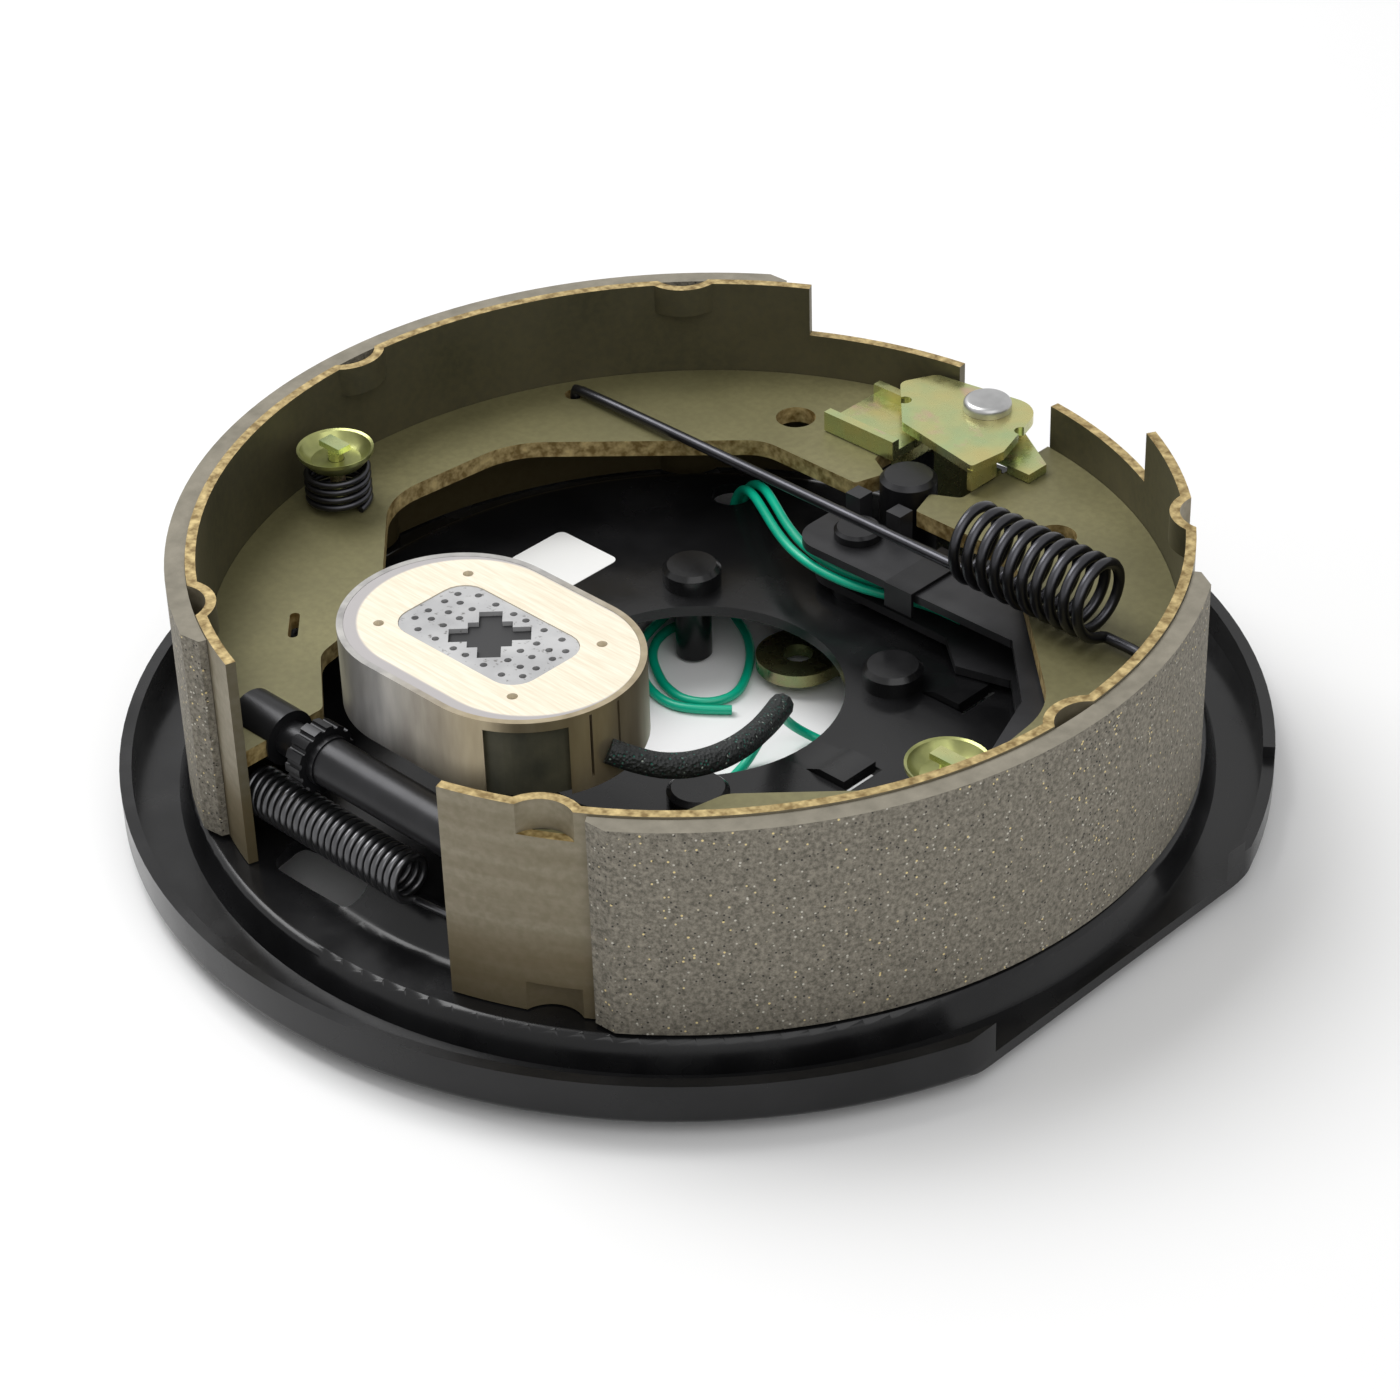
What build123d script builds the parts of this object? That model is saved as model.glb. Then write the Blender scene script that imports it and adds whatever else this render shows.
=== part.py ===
from build123d import *
from math import atan2, cos, degrees, hypot, pi, radians, sin, sqrt, tan
import os

# Electric drum brake for a trailer axle, laid on its back as the photograph shows it.
# Millimetres. The origin is the middle of the mounting face, +Z points to the drum
# and +Y to the anchor post. The near shoe is at +X, the far shoe at -X.

# Backing plate: one pressing with a plateau, a ledge for the shoes and a rolled lip
plate_t = 3.0
hub_hole_r = 37.4
plateau_r = 104.0
ledge_r = 113.0
ledge_drop = 8.0
crest_r = 126.5
channel_r = 129.5
channel_drop = 16.0
rim_r = 143.5
lip_h = 8.4
flat_x = 134.0
slope_bend_r = 5.0
crest_bend_r = 2.5
lip_low_start = 20.0
lip_low_end = 36.0
lip_drop = 3.0

# Mounting studs
stud_pcd = 98.4
stud_count = 4
stud_r = 4.7625
stud_shoulder_r = 5.3
stud_tip_z = -20.0
stud_head_r = 7.65
stud_head_h = 5.4
stud_chamfer = 1.2

# Brake shoes: a rolled table welded to a flat web
drum_gap_r = 126.5
lining_t = 5.0
table_t = 2.5
shoe_w = 57.15
web_t = 4.5
web_mid_z = 24.0
weld_gap = 0.1
heel_angle = 17.0
table_step_angle = 28.6
table_toe_angle = 7.5
toe_table_low = 9.5
toe_table_high = 38.5
near_lining_start = -56.4
near_lining_end = 31.0
far_lining_start = 122.0
far_lining_end = 247.0
lining_side_inset = 0.6
lining_bevel = 5.0
lining_bevel_rise = 3.0
near_nib_angles = (-61.0, -1.0, 43.0)
far_nib_angles = (239.0, 180.0, 135.0)
nib_w = 16.0
nib_depth = 3.5
nib_h = 8.0

# Points of the web's inner edge, for the near shoe, from toe to heel
toe_corner = (10.4, 71.0)
toe_shoulder = (15.0, 83.5)
web_shoulder = (43.0, 71.0)
web_waist_top = (92.0, 26.0)
web_waist_low = (96.0, -14.0)
web_belly = (59.0, -50.0)
web_neck = (54.0, -74.0)
web_horn_y = -89.0
web_bends = [2.0, 1.0, 1.0, 12.0, 24.0, 20.0, 7.0, 8.0, 3.0]
heel_x = 36.0
toe_contact_gap = 0.15
toe_hole = (44.6, 85.4)
toe_hole_r = 5.3
heel_slot = (68.4, -70.0)
heel_slot_len = 11.0
heel_slot_w = 2.5
spring_hook = (97.5, 55.0)
spring_hook_r = 2.7
adjuster_hook = (45.0, -108.0)
adjuster_hook_r = 1.5

# Anchor post
anchor_y = 80.0
anchor_r = 7.5
anchor_top_z = 29.0
anchor_collar_r = 10.0
anchor_collar_t = 1.5
anchor_chamfer = 1.2
anchor_nose_drop = 0.5

# Hold-downs
hold_x = 103.3
hold_y = -24.0
hold_pin_r = 2.0
hold_pin_head_r = 5.0
hold_head_t = 1.6
hold_tee_len = 7.6
hold_hole_r = 4.5
hold_seat_r = 8.0
hold_well_gap = 1.0
cup_r = 9.9
cup_top_z = 42.5
cup_t = 1.2
cup_dish = 3.0
cup_skirt = 2.4
cup_crown_r = 7.4
notch_y = 4.4
notch_w = 2.0
notch_len = 2.6
hold_spring_r = 9.15
hold_wire = 1.8
hold_turns = 4.5

# Return spring between the shoes
return_z = 37.0
return_y = 55.0
return_outer_r = 10.0
return_wire = 2.5
return_start_x = 43.0
return_end_x = 81.0
return_turns = 10
hook_drop = 3.0

# Adjuster between the heels
adjuster_y = -100.3
fork_r = 7.0
fork_left_x = -49.0
fork_depth_gap = 0.5
fork_gap = 0.15
thread_r = 4.4
fork_right_x = -35.0
star_left_x = -27.0
star_t = 5.0
star_r = 8.5
star_teeth = 14
star_tooth_depth = 1.6
star_hub_r = 6.4
tube_left_x = -20.0
tube_right_x = 51.0
tube_r = 6.0
screw_in_tube = 26.0
rod_end_gap = 4.0
adjuster_spring_y = -106.5
adjuster_spring_z = 10.0
adjuster_spring_r = 5.6
adjuster_wire = 1.9
adjuster_spring_left = -37.0
adjuster_spring_right = 8.0
adjuster_turns = 20
slot_x = -18.0
slot_y = -108.0
slot_len = 30.0
slot_w = 9.0

# Actuating arm: a channel open towards the hub, with a curved limb down to the magnet
arm_low_z = 5.2
arm_high_z = 19.5
arm_t = 2.3
arm_left_x = -13.0
arm_outer_y = 68.5
arm_flange_y = 48.5
arm_low_flange_y = 53.5
arm_limb_w = 9.0
arm_end_r = 8.0
arm_knee = (41.0, 68.5)
arm_drop_1 = (66.0, 57.0)
arm_drop_2 = (87.0, 36.0)
arm_side_1 = (97.5, 8.0)
arm_side_2 = (96.0, -24.0)
arm_turn_1 = (85.0, -52.0)
arm_turn_2 = (62.0, -71.0)
arm_foot = (30.0, -78.0)
arm_pad_r = 13.0
arm_inner_corner = (60.0, 49.5)
arm_low_corner = (46.0, 45.5)
arm_low_wide = (36.0, 53.5)
lug_in_x = 4.5
lug_out_x = 9.3
lug_far_y = 71.0
lug_top_z = 26.0
pivot_y = 60.5
pivot_r = 4.8
pivot_head_r = 6.2
pivot_head_t = 2.8
pivot_collar_r = 6.8
pivot_chamfer = 0.8
clip_x = 25.0
clip_w = 9.0
clip_t = 0.9
clip_reach = 14.0
clip_lip_h = 6.0

# Electromagnet on the arm
magnet_x = -0.75
magnet_y = -65.6
magnet_cap_r = 27.7
magnet_straight = 24.5
magnet_top_z = 51.0
magnet_h = 21.0
magnet_wall = 1.6
magnet_floor_t = 3.0
face_t = 5.0
lozenge_len = 40.0
lozenge_w = 18.0
lozenge_corner = 4.0
cross_span = 16.0
cross_arm_w = 7.0
cross_t = 4.5
insert_sink = 0.3
retainer_sink = 0.1
window_w = 19.4
window_h = 18.5
window_in = 6.0
window_out = 31.7
window_turn = -45.0
slit_w = 0.7
slit_angles = (-13.0, 4.0)
coil_outer_r = 22.0
coil_inner_r = 10.0
coil_h = 9.5
magnet_pin_r = 5.0
magnet_pin_top_z = 41.5
magnet_pin_foot_r = 7.0
magnet_pin_foot_t = 1.2
magnet_spring_low_r = 8.0
magnet_spring_high_r = 13.0
magnet_wire = 1.8
magnet_turns = 3

# Park brake expander between the toes
rivet_y = 111.0
rivet_r = 3.0
rivet_head_r = 6.4
rivet_head_t = 3.0
rivet_foot_r = 6.0
rivet_foot_t = 2.0
rivet_round = 1.6
rivet_top_z = 38.0
upper_plate_t = 2.5
tab_reach = 1.0
tab_flare = 1.4
tab_gap = 1.2
link_far_low = (-12.0, 91.0)
link_far_high = (-21.5, 115.8)
link_far_end = (-26.3, 106.4)
link_tab_low_y = 86.0
link_tab_high_y = 97.0
link_end_bend = 2.0
link_far_bend = 3.0
link_holes = ((-19.0, 100.0), (14.0, 108.0))
link_hole_r = 1.8
strut_t = 2.5
strut_far_x = -34.0
strut_step_x = -10.0
fold_end_x = -12.0
strut_low_y = 85.0
strut_high_y = 107.0
finger_step = 1.2
finger_low_y = 100.0
finger_end_x = 23.5
finger_shoulder = 4.0
lug_low_y = 90.0
lug_high_y = 104.0
lug_depth = 0.5
eye_r = 10.0
lever_eye_t = 2.7
lever_eye_r = 9.0
lever_leg_gap = 1.3
lever_w = 14.0
lever_t = 3.0
lever_y = 98.0
lever_low_z = -16.5
lever_nose_gap = 1.4
tongue_t = 3.5
tongue_w = 22.0
tongue_tip = (-8.0, 46.0)
tongue_hole_r = 4.0
lever_slot_w = 24.0
lever_slot_h = 8.0
web_clear = 0.35

# Holes and lanced tongues of the plate
wire_hole = (-57.0, 73.0)
wire_hole_r = 5.5
tongue_places = ((49.0, 42.0), (50.0, -1.0))
tab_w = 12.0
tab_rise = 1.8

# Wires
lead_d = 2.5
sleeve_d = 6.3
fit = 0.05
loose = 0.3

# Chords in one turn of a coil, and the hexagon that stands for round wire
coil_steps = 12
small_coil_steps = 10
wire_sides = 6

# Values worked out from the sizes above
far = 400.0
table_out_r = drum_gap_r - lining_t
table_in_r = table_out_r - table_t
web_out_r = table_in_r - weld_gap
web_low_z = web_mid_z - web_t / 2
web_high_z = web_mid_z + web_t / 2
shoe_low_z = web_mid_z - shoe_w / 2
stud_pitch_r = stud_pcd / 2
magnet_low_z = magnet_top_z - magnet_h
face_low_z = magnet_top_z - face_t
floor_z = stud_tip_z
lead_floor_z = floor_z + lead_d / 2 + fit


def along(z_low, z_high, r, x=0.0, y=0.0):
    """Upright cylinder between two heights."""
    return Pos(x, y, (z_low + z_high) / 2) * Cylinder(r, z_high - z_low)


def across(x_low, x_high, r, y, z):
    """Cylinder lying along X."""
    return Pos((x_low + x_high) / 2, y, z) * Rot(0, 90, 0) * Cylinder(r, x_high - x_low)


def block(x_low, x_high, y_low, y_high, z_low, z_high):
    """Box between two corners."""
    middle = Pos((x_low + x_high) / 2, (y_low + y_high) / 2, (z_low + z_high) / 2)
    return middle * Box(x_high - x_low, y_high - y_low, z_high - z_low)


def slab(face, z_low, z_high):
    """Plan face extruded between two heights."""
    return Pos(0, 0, z_low) * extrude(face, amount=z_high - z_low, dir=(0, 0, 1))


def outline(points, radii):
    """Closed plan face with its own fillet radius at each point."""
    edge = FilletPolyline(*points, radius=radii, close=True)
    return make_face(edge)


def polar(r, angle):
    """Plan point from radius and angle in degrees."""
    return (r * cos(radians(angle)), r * sin(radians(angle)))


def sector(r_in, r_out, start, end):
    """Plan face of a ring between two angles."""
    inner = CenterArc((0, 0), r_in, start, end - start)
    outer = CenterArc((0, 0), r_out, start, end - start)
    sides = [Line(inner @ 0, outer @ 0), Line(inner @ 1, outer @ 1)]
    return make_face([inner, outer] + sides)


def shifted(points, distance):
    """Polyline moved to its right by a distance, with mitred corners."""
    moved = []
    for i, here in enumerate(points):
        before = points[max(i - 1, 0)]
        after = points[min(i + 1, len(points) - 1)]
        normals = []
        for a, b in ((before, here), (here, after)):
            length = hypot(b[0] - a[0], b[1] - a[1])
            if length > 0:
                normals.append(((b[1] - a[1]) / length, (a[0] - b[0]) / length))
        n1, n2 = normals[0], normals[-1]
        scale = distance / (1 + n1[0] * n2[0] + n1[1] * n2[1])
        moved.append((here[0] + scale * (n1[0] + n2[0]), here[1] + scale * (n1[1] + n2[1])))
    return moved


def ribbon(points, near_side, far_side):
    """Plan face between two lines parallel to a polyline."""
    one = shifted(points, near_side)
    two = shifted(points, far_side)
    return make_face(Polyline(*(one + two[::-1]), close=True))


def coil(start, axis_step, radius_start, radius_end, turns, steps, phase, lead_in, lead_out, wire):
    """Wire coil of straight chords round X or Z, with legs before and after it."""
    points = list(lead_in)
    count = int(turns * steps)
    for i in range(count + 1):
        part = i / count
        angle = phase + 2 * pi * i / steps
        r = radius_start + (radius_end - radius_start) * part
        u, v = r * cos(angle), r * sin(angle)
        if axis_step[0]:
            points.append((start[0] + axis_step[0] * part, start[1] + u, start[2] + v))
        else:
            points.append((start[0] + u, start[1] + v, start[2] + axis_step[2] * part))
    points += lead_out
    path = Polyline(*points)
    section = Plane(origin=path @ 0, z_dir=path % 0) * RegularPolygon(wire / 2, wire_sides)
    return sweep(section, path=path, transition=Transition.RIGHT)


def cord(name, points, diameter):
    """Round flexible lead: straight runs joined by arcs as large as the runs allow."""
    vectors = [Vector(*p) for p in points]
    runs = [b - a for a, b in zip(vectors, vectors[1:])]
    radii = []
    for a, b in zip(runs, runs[1:]):
        turn = radians(a.get_angle(b))
        radii.append(0.45 * min(a.length, b.length) / tan(turn / 2))
    print(name, "smallest bend radius", round(min(radii), 1))
    path = FilletPolyline(*points, radius=radii)
    section = Plane(origin=path @ 0, z_dir=path % 0) * Circle(diameter / 2)
    return sweep(section, path=path)


def mirrored(shape):
    """The same piece on the far side."""
    return mirror(shape, about=Plane.YZ)


# Backing plate

def plate_section():
    """Half section of the pressing, its inner side shifted outwards by its thickness."""
    top = [
        (hub_hole_r, plate_t),
        (plateau_r, plate_t),
        (ledge_r, plate_t - ledge_drop),
        (crest_r, plate_t - ledge_drop),
        (channel_r, plate_t - channel_drop),
        (rim_r - plate_t, plate_t - channel_drop),
        (rim_r - plate_t, plate_t - channel_drop + lip_h),
    ]
    under = shifted(top, plate_t)
    small = 0.0
    top_bends = [slope_bend_r, slope_bend_r, crest_bend_r, small, small]
    low_bends = [slope_bend_r + plate_t, slope_bend_r, small, small, crest_bend_r]
    upper = FilletPolyline(*top, radius=top_bends)
    lower = FilletPolyline(*under, radius=low_bends)
    ends = [Line(upper @ 0, lower @ 0), Line(upper @ 1, lower @ 1)]
    return make_face([*upper.edges(), *lower.edges()] + ends)


def backing_plate():
    plate = revolve(Plane.XZ * plate_section(), axis=Axis.Z)
    for side in (1, -1):
        seat_well = along(-channel_drop, -plate_t, hold_pin_head_r + hold_well_gap,
                          side * hold_x, hold_y)
        plate += along(-plate_t, 0, hold_seat_r, side * hold_x, hold_y)
        plate -= seat_well
        plate -= along(-far, far, hold_pin_r + loose, side * hold_x, hold_y)
    plate -= block(flat_x, far, -far, far, -far, far)
    lip_top = plate_t - channel_drop + lip_h
    taper = sector(channel_r, rim_r + plate_t, lip_low_start, lip_low_end)
    plate -= slab(taper, lip_top - lip_drop, far)
    for i in range(stud_count):
        x, y = polar(stud_pitch_r, 45 + 360 / stud_count * i)
        plate -= along(-far, far, stud_shoulder_r + fit, x, y)
    plate -= along(-far, far, anchor_r + fit, 0, anchor_y)
    plate -= along(-far, far, pivot_r + fit, 0, pivot_y)
    plate -= along(-far, far, wire_hole_r, *wire_hole)
    access = Pos(slot_x, slot_y) * SlotOverall(slot_len, slot_w)
    plate -= slab(access, -far, far)
    lever_middle = lever_y + lever_t / 2
    plate -= slab(Pos(0, lever_middle) * Rectangle(lever_slot_w, lever_slot_h), -far, far)
    for x, y in tongue_places:
        plate -= block(x - tab_w / 2, x + tab_w / 2 + tab_rise, y - tab_w / 2, y + tab_w / 2, -far, far)
        plate += tongue_tab(x, y)
    return plate


def tongue_tab(x, y):
    """Lanced tongue: rooted on the hub side, with its free end raised."""
    root = x - tab_w / 2
    knee = root + tab_w / 3
    tip = x + tab_w / 2
    line = [(root - fit, 0), (root, 0), (knee, tab_rise), (tip, tab_rise)]
    top = [(px, pz + plate_t) for px, pz in line[::-1]]
    side = make_face(Polyline(*(line + top), close=True))
    width = tab_w - 2 * loose
    return Pos(0, y + width / 2, 0) * extrude(Plane.XZ * side, amount=width)


def mounting_studs():
    """Studs with a wider shoulder pressed into the plate."""
    stud = along(stud_tip_z, 0, stud_r) + along(0, plate_t, stud_shoulder_r)
    head = along(plate_t, plate_t + stud_head_h, stud_head_r)
    stud += chamfer(head.edges().group_by(Axis.Z)[-1], stud_chamfer)
    tip = stud.edges().group_by(Axis.Z)[0]
    stud = chamfer(tip, stud_chamfer)
    return [Pos(*polar(stud_pitch_r, 45 + 360 / stud_count * i)) * stud for i in range(stud_count)]


def anchor_post():
    """Post riveted flush behind the plate, with a collar that seats on its front."""
    post = along(0, anchor_top_z, anchor_r)
    post += along(plate_t, plate_t + anchor_collar_t, anchor_collar_r)
    post = chamfer(post.edges().group_by(Axis.Z)[-1], anchor_chamfer)
    return Pos(0, anchor_y) * post


# Shoes. The near one is built, and the far one is its mirror with a longer lining.

def shoe_web():
    heel_y = -sqrt(web_out_r ** 2 - heel_x ** 2)
    toe_y = sqrt(web_out_r ** 2 - toe_shoulder[0] ** 2)
    nose = (anchor_r + toe_contact_gap, anchor_y - anchor_nose_drop)
    corners = [
        (toe_shoulder[0], toe_y),
        toe_shoulder,
        nose,
        toe_corner,
        web_shoulder,
        web_waist_top,
        web_waist_low,
        web_belly,
        web_neck,
        (heel_x, web_horn_y),
        (heel_x, heel_y),
    ]
    inner = FilletPolyline(*corners, radius=web_bends)
    start = degrees(atan2(heel_y, heel_x))
    end = degrees(atan2(toe_y, toe_shoulder[0]))
    outer = CenterArc((0, 0), web_out_r, start, end - start)
    web = slab(make_face([*inner.edges(), outer]), web_low_z, web_high_z)
    for place, r in ((toe_hole, toe_hole_r), ((hold_x, hold_y), hold_hole_r)):
        web -= along(web_low_z - 1, web_high_z + 1, r, *place)
    for place, r in ((spring_hook, spring_hook_r), (adjuster_hook, adjuster_hook_r)):
        web -= along(web_low_z - 1, web_high_z + 1, r, *place)
    turn = degrees(atan2(heel_slot[1], heel_slot[0])) + 90
    slot = Pos(*heel_slot) * Rot(0, 0, turn) * SlotOverall(heel_slot_len, heel_slot_w)
    return web - slab(slot, web_low_z - 1, web_high_z + 1)


def nib_circle(angle):
    """Plan place and radius of the round side of a lanced nib."""
    r = ((nib_w / 2) ** 2 + nib_depth ** 2) / (2 * nib_depth)
    return polar(table_in_r - nib_depth + r, angle), r


def shoe_table(nib_angles):
    """Rolled table with a narrower tongue at the toe and lanced nibs on both edges."""
    heel = -90 + heel_angle
    step = 90 - table_step_angle
    table = slab(sector(table_in_r, table_out_r, heel, step), shoe_low_z, shoe_low_z + shoe_w)
    toe = sector(table_in_r, table_out_r, step - 1, 90 - table_toe_angle)
    table += slab(toe, toe_table_low, toe_table_high)
    for angle in nib_angles:
        place, r = nib_circle(angle)
        for low in (shoe_low_z, shoe_low_z + shoe_w - nib_h):
            outer = along(low, low + nib_h, r, *place)
            inner = along(low, low + nib_h, r - table_t, *place)
            strip = (outer - inner) & along(low, low + nib_h, table_in_r + table_t / 2)
            table = table - inner + strip
    return table


def shoe_lining(start, end):
    """Friction lining with bevelled ends."""
    bevel = degrees(lining_bevel / drum_gap_r)
    inner_r = table_out_r + weld_gap
    inner = CenterArc((0, 0), inner_r, start, end - start)
    outer = CenterArc((0, 0), drum_gap_r, start + bevel, end - start - 2 * bevel)
    low_corner = polar(drum_gap_r - lining_bevel_rise, start)
    high_corner = polar(drum_gap_r - lining_bevel_rise, end)
    first = Polyline(inner @ 0, low_corner, outer @ 0)
    last = Polyline(inner @ 1, high_corner, outer @ 1)
    face = make_face([inner, outer, *first.edges(), *last.edges()])
    low = shoe_low_z + lining_side_inset
    return slab(face, low, low + shoe_w - 2 * lining_side_inset)


# Hold-downs

def hold_down_pin(side):
    head = along(-plate_t - hold_head_t, -plate_t - fit, hold_pin_head_r)
    shank = along(-plate_t - fit, cup_top_z + fit, hold_pin_r)
    tee = Pos(0, 0, cup_top_z + fit + hold_head_t / 2)
    tee *= Box(hold_tee_len, 2 * hold_pin_r, hold_head_t)
    return Pos(side * hold_x, hold_y) * (head + shank + tee)


def hold_down_cup(side):
    """Dished cup with a rolled skirt and two notches for the pin's tee."""
    cup = along(cup_top_z - cup_dish - cup_t, cup_top_z - cup_dish, cup_r)
    cup += along(cup_top_z - cup_dish - cup_skirt, cup_top_z - cup_dish, cup_r)
    cup += along(cup_top_z - cup_dish, cup_top_z, cup_crown_r)
    cup -= along(cup_top_z - cup_dish - cup_skirt, cup_top_z - cup_dish - cup_t, cup_r - cup_t)
    cup -= along(cup_top_z - cup_dish - cup_t, cup_top_z - cup_t, cup_crown_r - cup_t)
    cup -= along(cup_top_z - cup_t, cup_top_z, hold_pin_r + fit)
    for turn in (0, 180):
        notch = Rot(0, 0, turn) * Pos(0, notch_y) * Rectangle(notch_w, notch_len)
        cup -= slab(notch, cup_top_z - cup_t, cup_top_z)
    return Pos(side * hold_x, hold_y) * cup


def hold_down_spring(side):
    mean = hold_spring_r - hold_wire / 2
    low = web_high_z + hold_wire / 2 + fit
    high = cup_top_z - cup_dish - cup_t - hold_wire / 2 - fit
    mean = min(mean, cup_r - cup_t - hold_wire / 2 - loose)
    middle = (side * hold_x, hold_y, low)
    return coil(middle, (0, 0, high - low), mean, mean, hold_turns, coil_steps, 0,
                [], [], hold_wire)


# Return spring

def return_spring():
    mean = return_outer_r - return_wire / 2
    leg_z = return_z - mean
    hook_z = web_low_z - hook_drop
    left, y = -spring_hook[0], spring_hook[1]
    lead_in = [(left, y, hook_z), (left, y, leg_z), (return_start_x - 2, return_y, leg_z)]
    lead_out = [(return_end_x + 2, return_y, leg_z), (-left, y, leg_z), (-left, y, hook_z)]
    start = (return_start_x, return_y, return_z)
    step = (return_end_x - return_start_x, 0, 0)
    return coil(start, step, mean, mean, return_turns, coil_steps, -pi / 2,
                lead_in, lead_out, return_wire)


# Adjuster

def web_fork(x_low, x_high):
    """Slot that a fork needs to straddle the web."""
    return block(x_low, x_high, -far, far, web_low_z - fork_gap, web_high_z + fork_gap)


def adjuster_screw():
    """Fork over the far heel, drawn into a threaded rod."""
    screw = across(fork_left_x, fork_right_x, fork_r, adjuster_y, web_mid_z)
    screw -= web_fork(fork_left_x - 1, -heel_x + fork_depth_gap)
    rod_end = tube_left_x + screw_in_tube
    return screw + across(fork_right_x - fit, rod_end, thread_r, adjuster_y, web_mid_z)


def star_wheel():
    """Threaded nut with a toothed wheel, turned through the slot in the plate."""
    wheel = across(star_left_x, star_left_x + star_t, star_r, adjuster_y, web_mid_z)
    for i in range(star_teeth):
        angle = 2 * pi * (i + 0.5) / star_teeth
        y = adjuster_y + star_r * cos(angle)
        z = web_mid_z + star_r * sin(angle)
        wheel -= across(star_left_x - 1, star_left_x + star_t + 1, star_tooth_depth / 2, y, z)
    wheel += across(star_left_x + star_t, tube_left_x - fit, star_hub_r, adjuster_y, web_mid_z)
    bore = across(star_left_x - 1, tube_left_x, thread_r + fit, adjuster_y, web_mid_z)
    return wheel - bore


def adjuster_tube():
    """Plain tube over the rod's end, forked over the near heel."""
    tube = across(tube_left_x, tube_right_x, tube_r, adjuster_y, web_mid_z)
    bore_end = tube_left_x + screw_in_tube + rod_end_gap
    tube -= across(tube_left_x - 1, bore_end, thread_r + fit, adjuster_y, web_mid_z)
    return tube - web_fork(heel_x - fork_depth_gap, tube_right_x + 1)


def adjuster_spring():
    mean = adjuster_spring_r - adjuster_wire / 2
    y, z = adjuster_spring_y, adjuster_spring_z
    hook_x, hook_y = adjuster_hook
    over = web_high_z + hook_drop
    low_z = z - mean
    lead_in = [(-hook_x, hook_y, over), (-hook_x, hook_y, z), (adjuster_spring_left - 1.5, y, low_z)]
    right = adjuster_spring_right
    lead_out = [(right + 2, y, low_z), (hook_x - 3, hook_y, z), (hook_x, hook_y, z + 3)]
    lead_out.append((hook_x, hook_y, over))
    start = (adjuster_spring_left, y, z)
    step = (right - adjuster_spring_left, 0, 0)
    return coil(start, step, mean, mean, adjuster_turns, small_coil_steps, -pi / 2,
                lead_in, lead_out, adjuster_wire)


# Actuating arm

def arm_path():
    """Outer edge of the arm, from its free end over the pivot round to the magnet."""
    start = (arm_left_x, arm_outer_y)
    end = (magnet_x, arm_foot[1])
    middle = [arm_knee, arm_drop_1, arm_drop_2, arm_side_1, arm_side_2]
    return [start] + middle + [arm_turn_1, arm_turn_2, arm_foot, end]


def actuating_arm():
    path = arm_path()
    wall = slab(ribbon(path, 0, arm_t), arm_low_z, arm_high_z)
    limb = ribbon(path, 0, arm_limb_w)
    free_end = (arm_left_x, arm_outer_y)
    high_head = [(arm_left_x, arm_flange_y), arm_inner_corner, arm_drop_1, arm_knee, free_end]
    low_head = [(arm_left_x, arm_low_flange_y), arm_low_wide, arm_low_corner, arm_inner_corner]
    low_head += [arm_drop_1, arm_knee, free_end]
    pad = Pos(magnet_x, magnet_y) * Circle(arm_pad_r)
    high = slab(outline(high_head, [arm_end_r, 0, 0, 0, 0]), arm_high_z - arm_t, arm_high_z)
    low = slab(outline(low_head, [arm_end_r, 0, 0, 0, 0, 0, 0]), arm_low_z, arm_low_z + arm_t)
    arm = wall + high + low
    for z in (arm_low_z, arm_high_z - arm_t):
        arm += slab(limb, z, z + arm_t) + slab(pad, z, z + arm_t)
    for side in (1, -1):
        x_low = min(side * lug_in_x, side * lug_out_x)
        arm += block(x_low, x_low + lug_out_x - lug_in_x, arm_outer_y - arm_t, lug_far_y,
                     arm_high_z - arm_t, lug_top_z)
    arm -= along(-far, far, pivot_r + fit, 0, pivot_y)
    return arm - along(-far, far, magnet_pin_r + fit, magnet_x, magnet_y)


def arm_pivot_pin():
    """Pin riveted flush behind the plate, with a collar under the arm and a head over it."""
    head_low = arm_high_z + fit
    pin = along(0, head_low, pivot_r)
    pin += along(plate_t, arm_low_z - fit, pivot_collar_r)
    pin += along(head_low, head_low + pivot_head_t, pivot_head_r)
    pin = chamfer(pin.edges().group_by(Axis.Z)[-1], pivot_chamfer)
    return Pos(0, pivot_y) * pin


def wire_clip():
    """Bent strip that holds the leads in the channel."""
    low = arm_low_z - clip_t
    high = arm_high_z + clip_t
    back = arm_outer_y + clip_t
    front = arm_outer_y - clip_reach
    x_low, x_high = clip_x - clip_w / 2, clip_x + clip_w / 2
    strip = block(x_low, x_high, arm_flange_y - fit - clip_t, back + fit, high - clip_t + fit, high + fit)
    strip += block(x_low, x_high, back - clip_t + fit, back + fit, low - fit, high + fit)
    strip += block(x_low, x_high, front, back + fit, low - fit, low - fit + clip_t)
    lip = arm_flange_y - fit - clip_t
    return strip + block(x_low, x_high, lip, lip + clip_t, arm_high_z - clip_lip_h, high + fit)


# Electromagnet

def magnet_plan(inset):
    """Stadium outline of the magnet, shrunk by an inset."""
    r = magnet_cap_r - inset
    return Pos(magnet_x, magnet_y) * SlotOverall(magnet_straight + 2 * r, 2 * r)


def lozenge(grow):
    shape = RectangleRounded(lozenge_len + 2 * grow, lozenge_w + 2 * grow, lozenge_corner)
    return Pos(magnet_x, magnet_y) * shape


def cross(grow):
    arm = Rectangle(cross_span + 2 * grow, cross_arm_w + 2 * grow)
    return Pos(magnet_x, magnet_y) * (Rot(0, 0, 45) * arm + Rot(0, 0, -45) * arm)


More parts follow.
